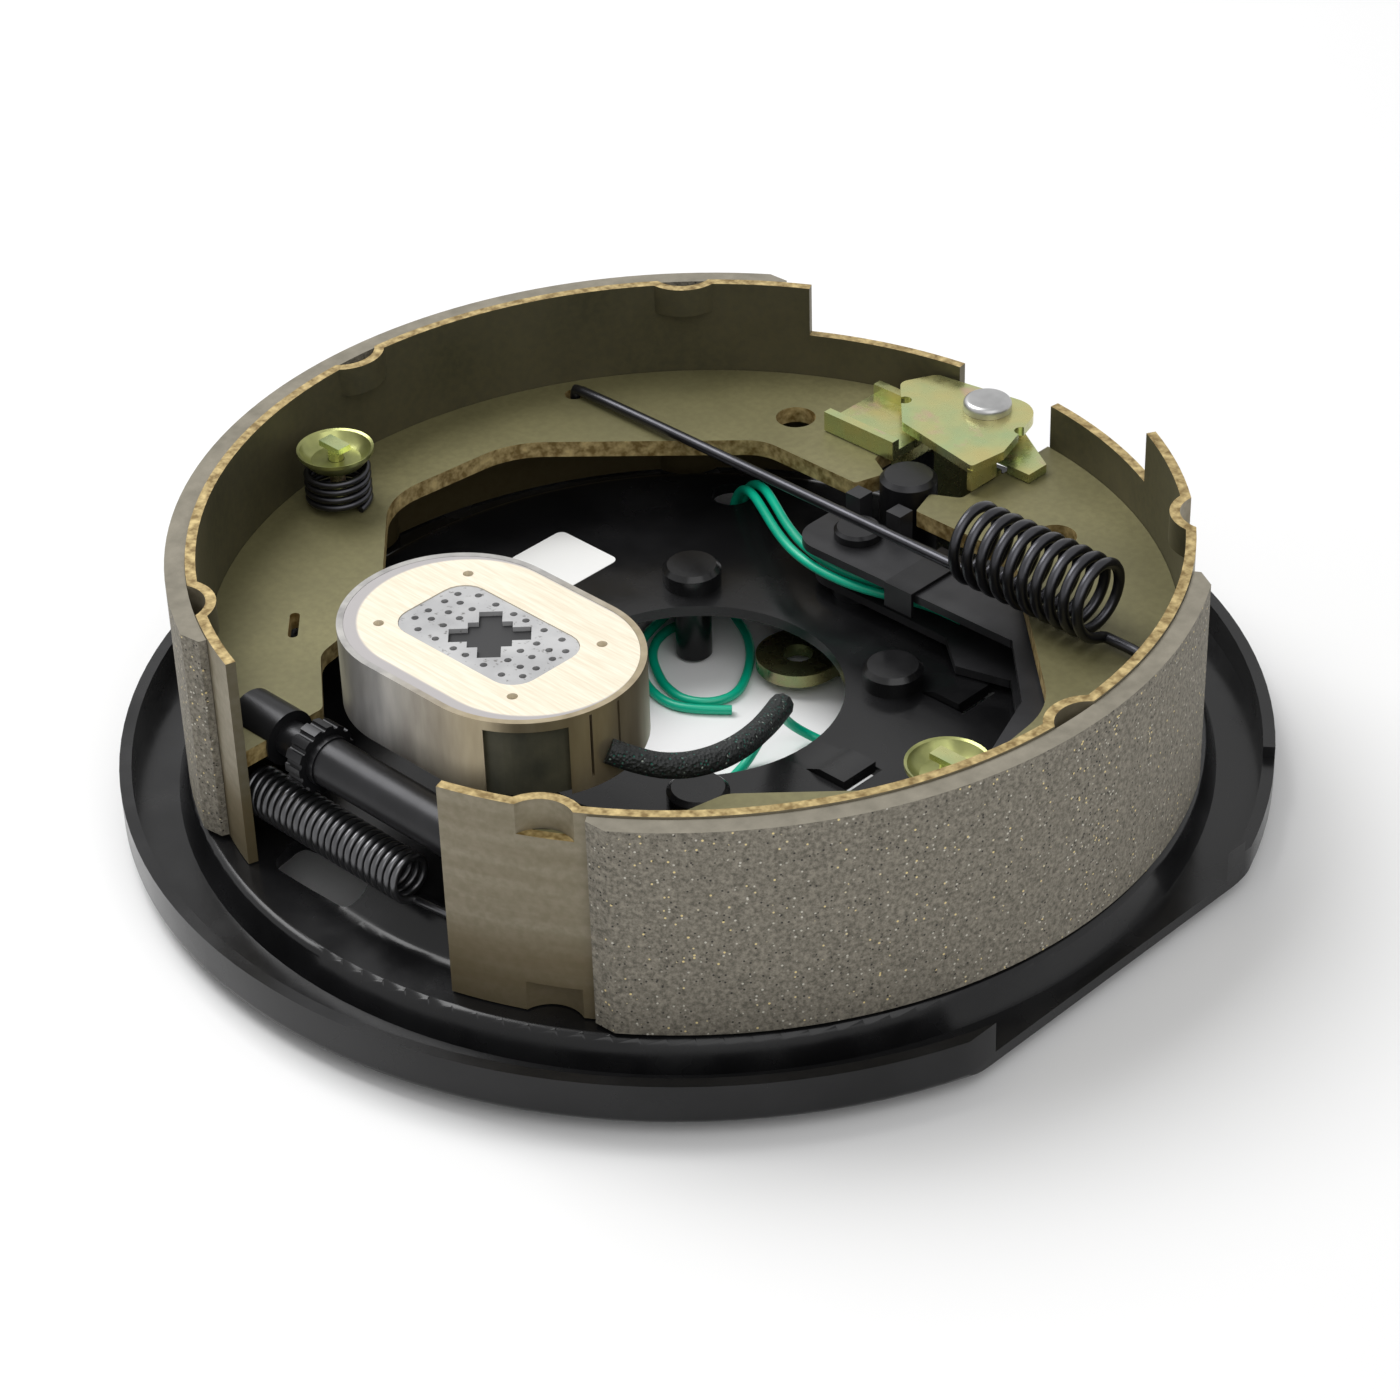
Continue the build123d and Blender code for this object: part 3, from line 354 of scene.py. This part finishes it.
def olive_steel(name, edge_faces_up):
    """Dull olive chromate over rolled steel, with duller gold on the sheared edges; on the tables the
    inward faces are darker olive, as painted shade.
    """
    paint = Paint(name, screen(115, 110, 75), 0.5, 0.35)
    cloud = paint.between(paint.noise(25, 5), 0.3, 0.7)
    if edge_faces_up:
        olive = paint.blend(cloud, screen(128, 120, 100), screen(146, 138, 120))
        rolled = paint.between(paint.noise(300, 3, 0.5, (0.05, 0.05, 1.0)), 0.35, 0.65)
        olive = paint.blend(paint.math("MULTIPLY", rolled, 0.5), olive, screen(112, 102, 80))
        # Painted shade: the tables' inward faces take a darker olive.
        inside = paint.blend(cloud, screen(60, 58, 40), screen(85, 80, 60))
        olive = paint.blend(paint.inward(), olive, inside)
        stain = paint.between(paint.axis("Z"), 0.019, 0.012)
        olive = paint.blend(paint.math("MULTIPLY", stain, 0.6), olive, screen(88, 72, 38))
    else:
        olive = paint.blend(cloud, screen(104, 100, 68), screen(126, 121, 84))
    grain = paint.between(paint.noise(500, 2), 0.35, 0.65)
    olive = paint.blend(paint.math("MULTIPLY", grain, 0.3), olive, screen(92, 86, 58))
    if edge_faces_up:
        edge = paint.between(paint.normal_z(), 0.85, 0.95)
    else:
        edge = paint.between(paint.math("ABSOLUTE", paint.normal_z()), 0.3, 0.15)
    streak = paint.between(paint.noise(400, 2, 0.6), 0.35, 0.7)
    gold = paint.blend(streak, screen(118, 96, 50), screen(198, 176, 122))
    paint.join(paint.blend(edge, olive, gold), "Base Color")
    paint.bump(paint.noise(700, 3), 0.0001, 0.3)
    return paint.material


def lining_friction():
    """Moulded friction material: fine grey speckle with pits, light flecks and brass fibres."""
    paint = Paint("lining", screen(116, 110, 98), 0.85, 0.0)
    cloud = paint.between(paint.noise(900, 5, 0.7), 0.36, 0.64)
    base = paint.blend(cloud, screen(88, 84, 74), screen(140, 134, 121))
    flecks = paint.cells(1100)
    fleck_pick = paint.channel(flecks, "Red")
    small = paint.between(flecks.outputs["Distance"], 0.36, 0.22)
    pale = paint.math("MULTIPLY", paint.between(fleck_pick, 0.86, 0.9), small)
    brass = paint.math("MULTIPLY", paint.between(fleck_pick, 0.95, 0.96), small)
    pits = paint.math("MULTIPLY", paint.between(fleck_pick, 0.16, 0.12), small)
    colour = paint.blend(pits, base, screen(46, 43, 40))
    colour = paint.blend(pale, colour, screen(196, 192, 180))
    colour = paint.blend(brass, colour, screen(226, 204, 140))
    ground = paint.between(paint.noise(200, 3), 0.3, 0.7)
    top = paint.blend(ground, screen(118, 113, 100), screen(138, 132, 118))
    facing = paint.between(paint.normal_z(), 0.8, 0.95)
    paint.join(paint.blend(facing, colour, top), "Base Color")
    paint.bump(paint.noise(900, 4), 0.0003, 0.5)
    return paint.material


def yellow_zinc(name="zinc_yellow", dark=0.0):
    """Yellow chromate on zinc: pale gold with green and pink patches; dark blends it towards olive
    black as painted shade.
    """
    paint = Paint(name, screen(190, 182, 132), 0.28, 0.9)
    patch = paint.between(paint.noise(60, 3), 0.35, 0.65)
    gold = paint.blend(patch, screen(194, 184, 124), screen(168, 184, 134))
    pink = paint.between(paint.noise(110, 3), 0.58, 0.75)
    colour = paint.blend(pink, gold, screen(200, 164, 148))
    # Painted shade: dark mixes olive black into the colour, for a part that lies in shadow.
    if dark:
        colour = paint.blend(dark, colour, screen(60, 60, 40))
    paint.join(colour, "Base Color")
    paint.join(paint.between(paint.noise(300, 3), 0.3, 0.7, 0.2, 0.36), "Roughness")
    return paint.material


def plain_metal(name, colour, roughness, metallic=0.9, wear=None):
    """Bare, coated or blackened metal with light mottling."""
    paint = Paint(name, colour, roughness, metallic)
    shade = paint.between(paint.noise(120, 4), 0.3, 0.7)
    other = wear or tuple(c * 0.7 for c in colour[:3]) + (1.0,)
    paint.join(paint.blend(shade, other, colour), "Base Color")
    paint.bump(paint.noise(600, 3), 0.00006, 0.3)
    return paint.material


def friction_face():
    """Lapped magnet face: cream with fine streaks, and a grey crescent along one side."""
    paint = Paint("friction_cream", screen(236, 226, 205), 0.42, 0.2)
    streak = paint.noise(90, 4, 0.6, (1.0, 16.0, 1.0))
    tone = paint.between(streak, 0.35, 0.65)
    cream = paint.blend(tone, screen(224, 213, 190), screen(240, 231, 212))
    middle = point((magnet_middle[0] + crescent_shift, magnet_middle[1] + crescent_shift, 0))
    moved = paint.node("VectorMath", {0: paint.place(), 1: middle}, operation="SUBTRACT")
    split = paint.node("SeparateXYZ", {"Vector": moved.outputs[0]})
    past = paint.math("SUBTRACT", paint.math("ABSOLUTE", split.outputs["X"]), magnet_half * mm)
    past = paint.math("MAXIMUM", past, 0.0)
    flat = paint.node("CombineXYZ", {"X": past, "Y": split.outputs["Y"]}).outputs[0]
    out = paint.node("VectorMath", {0: flat}, operation="LENGTH").outputs["Value"]
    rim = paint.between(out, *[r * mm for r in crescent_r])
    paint.join(paint.blend(rim, cream, screen(172, 168, 168)), "Base Color")
    return paint.material


def perforated_plate():
    """Light grey plate with dark specks."""
    paint = Paint("potting_grey", screen(176, 176, 176), 0.5, 0.3)
    specks = paint.between(paint.noise(700, 3), 0.62, 0.72)
    cloud = paint.between(paint.noise(80, 3), 0.3, 0.7)
    tone = paint.blend(cloud, screen(160, 160, 161), screen(188, 188, 188))
    paint.join(paint.blend(specks, tone, screen(110, 108, 106)), "Base Color")
    return paint.material


def shell_steel():
    """Magnet shell: grey steel, warmer towards one end."""
    paint = Paint("bright_steel", screen(178, 172, 156), 0.36, 0.7)
    warm = paint.between(paint.axis("X"), -0.01, 0.02)
    tone = paint.between(paint.noise(200, 4, 0.5, (1.0, 1.0, 0.2)), 0.3, 0.7)
    grey = paint.blend(tone, screen(150, 148, 146), screen(186, 184, 180))
    tan = paint.blend(tone, screen(150, 137, 112), screen(176, 163, 136))
    paint.join(paint.blend(warm, grey, tan), "Base Color")
    return paint.material


def braid():
    """Black braided yarn with teal and pale threads showing through."""
    paint = Paint("braid_black", screen(14, 18, 18), 0.6)
    weave = paint.cells(1100)
    pick = paint.channel(weave, "Green")
    spot = paint.between(weave.outputs["Distance"], 0.35, 0.2)
    teal = paint.math("MULTIPLY", paint.between(pick, 0.62, 0.7), spot)
    pale = paint.math("MULTIPLY", paint.between(pick, 0.9, 0.93), spot)
    colour = paint.blend(teal, screen(20, 24, 24), screen(20, 96, 82))
    paint.join(paint.blend(pale, colour, screen(170, 178, 170)), "Base Color")
    paint.bump(weave.outputs["Distance"], 0.0006, 0.8)
    return paint.material


def make_materials():
    return {
        "plate": plate_black(),
        "web": olive_steel("shoe_olive", False),
        "table": olive_steel("table_olive", True),
        "lining": lining_friction(),
        "zinc": yellow_zinc(),
        # The park lever's zinc, half darkened as painted shade for the plate's shadow over it.
        "zinc_painted_shade": yellow_zinc("zinc_shaded", 0.5),
        "arm": plain_metal("arm_grey", screen(58, 58, 60), 0.4, 0.6),
        "oxide": plain_metal("dark_oxide", screen(40, 40, 42), 0.35, 0.6),
        "spring": plain_metal("spring_steel", screen(70, 70, 74), 0.3),
        "bright_spring": plain_metal("spring_bright", screen(96, 96, 98), 0.28),
        "bright": shell_steel(),
        "cup": plain_metal("cup_gold", screen(170, 172, 112), 0.3, 0.85, screen(128, 132, 84)),
        # Recess panel: dark olive painted shade on the shell's wall inside the window.
        "recess": plain_metal("recess_painted_shade", screen(84, 82, 66), 0.6, 0.2, screen(58, 58, 48)),
        "face": friction_face(),
        "potting": perforated_plate(),
        "black": Paint("black_plastic", screen(22, 22, 24), 0.5).material,
        "copper": plain_metal("copper", screen(170, 96, 62), 0.35),
        "aluminium": plain_metal("aluminium", screen(190, 190, 190), 0.35),
        "teal": Paint("wire_teal", screen(0, 176, 140), 0.35).material,
        "braid": braid(),
        "label": Paint("label_white", screen(232, 232, 230), 0.6).material,
    }


# Pieces made here

def wire(name, points, diameter, body, material):
    """Round tube along one smooth open curve."""
    curve = bpy.data.curves.new(name, "CURVE")
    curve.dimensions = "3D"
    spline = curve.splines.new("NURBS")
    spline.points.add(len(points) - 1)
    for made, place in zip(spline.points, points):
        made.co = (*point(place), 1.0)
    spline.order_u = 3
    spline.use_endpoint_u = True
    spline.resolution_u = 4
    curve.bevel_depth = diameter / 2 * mm
    curve.bevel_resolution = 3
    curve.use_fill_caps = True
    curve.materials.append(material)
    obj = bpy.data.objects.new(name, curve)
    scene.collection.objects.link(obj)
    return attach(obj, body)


def as_mesh(curve):
    """The same piece as a mesh."""
    shaped = bpy.data.meshes.new_from_object(curve.evaluated_get(bpy.context.evaluated_depsgraph_get()))
    name = curve.name
    bpy.data.objects.remove(curve)
    obj = bpy.data.objects.new(name + "_mesh", shaped)
    scene.collection.objects.link(obj)
    return obj


def coil(axis, span, middle, r_start, r_end, turns, phase=0.0):
    """Points of a helix round X or Z."""
    points = []
    start, end = span
    count = int(turns * coil_steps)
    for i in range(count + 1):
        part = i / count
        angle = phase + 2 * pi * i / coil_steps
        r = r_start + (r_end - r_start) * part
        u, v = r * cos(angle), r * sin(angle)
        step = start + (end - start) * part
        if axis == "X":
            points.append((step, middle[0] + u, middle[1] + v))
        else:
            points.append((middle[0] + u, middle[1] + v, step))
    return points


def mesh_piece(name, points, faces, body, material):
    """Mesh from points in millimetres, with its faces turned outwards."""
    mesh = bpy.data.meshes.new(name)
    mesh.from_pydata([point(p) for p in points], [], faces)
    shape = bmesh.new()
    shape.from_mesh(mesh)
    bmesh.ops.recalc_face_normals(shape, faces=shape.faces)
    shape.to_mesh(mesh)
    shape.free()
    mesh.materials.append(material)
    obj = bpy.data.objects.new(name, mesh)
    scene.collection.objects.link(obj)
    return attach(obj, body)


def pierced(name, loops, low, high, body, material):
    """Flat piece with straight sides: the first loop is its outline, the others are holes."""
    flat = [Vector((x, y, 0)) for loop in loops for x, y in loop]
    caps = tessellate_polygon([[Vector((x, y, 0)) for x, y in loop] for loop in loops])
    count = len(flat)
    points = [(p.x, p.y, z) for z in (low, high) for p in flat]
    faces = [tuple(face) for face in caps] + [tuple(i + count for i in face) for face in caps]
    start = 0
    for loop in loops:
        for i in range(len(loop)):
            first, second = start + i, start + (i + 1) % len(loop)
            faces.append((first, second, second + count, first + count))
        start += len(loop)
    return mesh_piece(name, points, faces, body, material)


def turned(name, section, middle, body, material, steps=48):
    """Piece of revolution round an upright axis, from its section's (radius, height) points."""
    points, faces = [], []
    count = len(section)
    for i in range(steps):
        angle = 2 * pi * i / steps
        points += [(middle[0] + r * cos(angle), middle[1] + r * sin(angle), z)
                   for r, z in section]
        for j in range(count):
            k, n = (j + 1) % count, (i + 1) % steps
            faces.append((i * count + j, i * count + k, n * count + k, n * count + j))
    return mesh_piece(name, points, faces, body, material)


def ring(x, y, r, steps=16, start=0.0, sweep=360.0):
    """Points round a circle or an arc of it."""
    count = steps if sweep == 360.0 else steps + 1
    angles = [radians(start + sweep * i / steps) for i in range(count)]
    return [(x + r * cos(a), y + r * sin(a)) for a in angles]


def rounded(x, y, half_x, half_y, corner, steps=6):
    """Points round a rectangle with rounded corners."""
    points = []
    for side_x, side_y, start in ((1, 1, 0), (-1, 1, 90), (-1, -1, 180), (1, -1, 270)):
        middle_x = x + side_x * (half_x - corner)
        middle_y = y + side_y * (half_y - corner)
        points += ring(middle_x, middle_y, corner, steps, start, 90)
    return points


def mirrored_holes(places, r):
    """Rings at places counted from the holes' middle, mirrored both ways."""
    x, y = holes_middle
    return [ring(x + i * u, y + j * v, r) for u, v in places for i in (-1, 1) for j in (-1, 1)]


def cross_outline(grow):
    """A cross on the diagonals with a square middle."""
    x, y = holes_middle
    half, arm, core = cross_half + grow, cross_arm + grow, cross_core + grow
    quarter = [(half, -arm), (half, arm), (core, arm), (core, core), (arm, core)]
    points = []
    for turn in range(4):
        angle = radians(45 + 90 * turn)
        for u, v in quarter:
            points.append((x + u * cos(angle) - v * sin(angle), y + u * sin(angle) + v * cos(angle)))
    return points


def add_magnet_face(made):
    """The magnet's cream face, its perforated plate, the black cross and the dark bed."""
    x, y = magnet_middle
    stadium = ring(x + magnet_half, y, face_r, 40, -90, 180)
    stadium += ring(x - magnet_half, y, face_r, 40, 90, 180)
    low, high = bed_z
    hole = rounded(*lozenge_middle, *lozenge_half, lozenge_corner)
    face = pierced("cream_face", [stadium, hole] + mirrored_holes([corner_holes], corner_hole_r),
                   high, magnet_top_z - face_sink, "magnet", made["face"])
    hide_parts("magnet_face")

    inner = rounded(*lozenge_middle, *[h - lozenge_gap for h in lozenge_half], lozenge_corner)
    holes = mirrored_holes(small_holes, small_hole_r)
    cx, cy = holes_middle
    holes += [ring(cx + i * u, cy, small_hole_r) for u in row_holes for i in (-1, 1)]
    plate = pierced("perforated_plate", [inner, cross_outline(cross_gap)] + holes,
                    high, magnet_top_z - lozenge_sink, "magnet", made["potting"])
    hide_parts("magnet_insert")

    cross = pierced("black_cross", [cross_outline(-cross_gap)],
                    high, magnet_top_z - cross_sink, "magnet", made["black"])
    # Painted shade: the black bed shows through the holes and gaps in place of the shade deep inside
    # them.
    bed = pierced("dark_bed", [stadium], low, high, "magnet", made["black"])
    for piece in (cross, bed):
        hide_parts("magnet_retainer")


def add_recess_panel(made):
    """Panel inside the window in the magnet's shell: the shell's recessed wall, coloured dark olive as
    painted shade.
    """
    x, y = magnet_middle
    inner_r, outer_r = panel_r
    start, sweep = panel_arc
    outline = ring(x + magnet_half, y, outer_r, 12, start, sweep)
    outline += ring(x + magnet_half, y, inner_r, 12, start + sweep, -sweep)
    panel = pierced("recess_panel", [outline], *panel_z, "magnet", made["recess"])


def add_cups(made):
    """Dished cups over the hold-down springs."""
    for side, label in ((1, "near"), (-1, "far")):
        middle = (side * hold_place[0], hold_place[1])
        cup = turned("dished_cup_" + label, cup_section, middle, "base", made["cup"])
        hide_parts("hold_down_cups")
        smooth(cup)


def add_cords(made):
    """The four leads and the braided sleeve, each from its own exit to a bare end."""
    leads = (("lead_1", lead_1_route), ("lead_2", lead_2_route),
             ("magnet_lead_1", magnet_lead_1_route), ("magnet_lead_2", magnet_lead_2_route))
    rows = [("dressed_" + name, name, route, lead_d, "base", "teal", "wire_teal")
            for name, route in leads]
    rows.append(("dressed_sleeve", "braided_sleeve", sleeve_route, sleeve_d,
                 "magnet", "braid", "braid_black"))
    for piece, node, route, diameter, body, look, slot in rows:
        tube = wire(piece, route, diameter, body, made[look])
        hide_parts(node)


def add_return_spring(made):
    """Coil at one shoe and a straight rod over to the other, hooked into both webs."""
    y, z = return_axis
    hook_x, hook_y, hook_z = return_hook
    bend, drop = return_bend
    leg = z - return_r
    first, last = return_x
    points = [(-hook_x, hook_y, hook_z), (-hook_x, hook_y, leg - drop), (bend - hook_x, hook_y, leg)]
    points += [(0, y, leg), (first - 3, y, leg), (first - 1, y, leg)]
    points += coil("X", return_x, return_axis, return_r, return_r, return_turns, -pi / 2)
    points += [(last + hook_lead, y, leg), (hook_x - bend, hook_y, leg), (hook_x, hook_y, leg - drop)]
    points.append(return_hook)
    spring = wire("return_coil", points, return_wire, "base", made["spring"])
    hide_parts("return_spring")


def add_adjuster_spring(made):
    """Long coil under the adjuster, hooked into both webs."""
    y, z = adjuster_axis
    hook_x, hook_y, hook_z = adjuster_hook
    low = z - adjuster_r
    first, last = adjuster_x
    points = [(-hook_x, hook_y, hook_z), (-hook_x, hook_y, z), (first - hook_lead, y, low)]
    points += coil("X", adjuster_x, adjuster_axis, adjuster_r, adjuster_r, adjuster_turns, -pi / 2)
    points += [(last + hook_lead, y, low), (hook_x - adjuster_bend, hook_y, z),
               (hook_x, hook_y, z + adjuster_bend)]
    points.append(adjuster_hook)
    spring = wire("adjuster_coil", points, adjuster_wire, "base", made["bright_spring"])
    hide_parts("adjuster_spring")


def add_hold_down_springs(made):
    for side, label in ((1, "near"), (-1, "far")):
        middle = (side * hold_place[0], hold_place[1])
        points = coil("Z", hold_z, middle, hold_r, hold_r, hold_turns)
        spring = wire("hold_down_coil_" + label, points, hold_wire, "base", made["spring"])
        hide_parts("hold_down_springs")


def add_magnet_spring(made):
    """Conical coil under the magnet; on the real brake it flattens as the magnet slides down."""
    points = coil("Z", magnet_spring_z, magnet_middle, *magnet_spring_r, magnet_turns)
    spring = as_mesh(wire("magnet_coil_spring", points, hold_wire, "arm", made["spring"]))
    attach(spring, "arm")
    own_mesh(spring)
    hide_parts("magnet_spring")


def add_label(made):
    """Blank white label on the plate."""
    (x0, y0), (x1, y1) = label_low, label_high
    corners = rounded((x0 + x1) / 2, (y0 + y1) / 2, (x1 - x0) / 2, (y1 - y0) / 2, label_corner, 4)
    count = len(corners)
    points = [(x, y, z) for z in (plate_top_z, plate_top_z + label_t) for x, y in corners]
    faces = [tuple(range(count, 2 * count))]
    for i in range(count):
        j = (i + 1) % count
        faces.append((i, j, j + count, i + count))
    label = mesh_piece("blank_label", points, faces, "base", made["label"])


def dress(made):
    """Materials and smooth shading of the pieces that stay as in the frame."""
    looks = {
        "plate": ["backing_plate", "mounting_studs"],
        "web": ["shoe_web_near", "shoe_web_far"],
        "table": ["shoe_table_near", "shoe_table_far"],
        "lining": ["lining_near", "lining_far"],
        "zinc": ["hold_down_pins", "hold_down_cups", "expander_plate", "expander_strut"],
        # The anchor post takes this dark as painted shade for its shadowed sides.
        "oxide": ["anchor_post", "adjuster_screw", "star_wheel", "adjuster_tube", "arm_pivot_pin",
                  "wire_clip"],
        "zinc_painted_shade": ["park_lever"],
        "arm": ["actuating_arm", "magnet_pin"],
        "bright": ["magnet_shell"],
        "face": ["magnet_face"],
        "potting": ["magnet_insert"],
        "black": ["magnet_retainer"],
        "copper": ["magnet_coil"],
        "aluminium": ["expander_rivet"],
        "spring": ["hold_down_springs", "return_spring", "adjuster_spring", "magnet_spring"],
        "teal": ["lead_1", "lead_2", "magnet_lead_1", "magnet_lead_2"],
        "braid": ["braided_sleeve"],
    }
    for look, names in looks.items():
        for name in names:
            obj = nodes[name]
            obj.data.materials.clear()
            obj.data.materials.append(made[look])
            smooth(obj)


def smooth(obj):
    """Joins the import's split vertices and shades smoothly between sharp edges."""
    if "custom_normal" in obj.data.attributes:
        obj.data.attributes.remove(obj.data.attributes["custom_normal"])
    weld = obj.modifiers.new("weld", "WELD")
    weld.merge_threshold = weld_gap * mm
    split = obj.modifiers.new("split", "EDGE_SPLIT")
    split.split_angle = radians(sharp_angle)
    for face in obj.data.polygons:
        face.use_smooth = True


add_camera()
made = make_materials()
add_cords(made)
dress(made)
for add in (add_return_spring, add_adjuster_spring, add_hold_down_springs, add_magnet_spring,
            add_magnet_face, add_recess_panel, add_cups, add_label):
    add(made)
add_floor()
add_world()
for lamp in lamps:
    add_light(*lamp)
scene.view_settings.view_transform = "Standard"
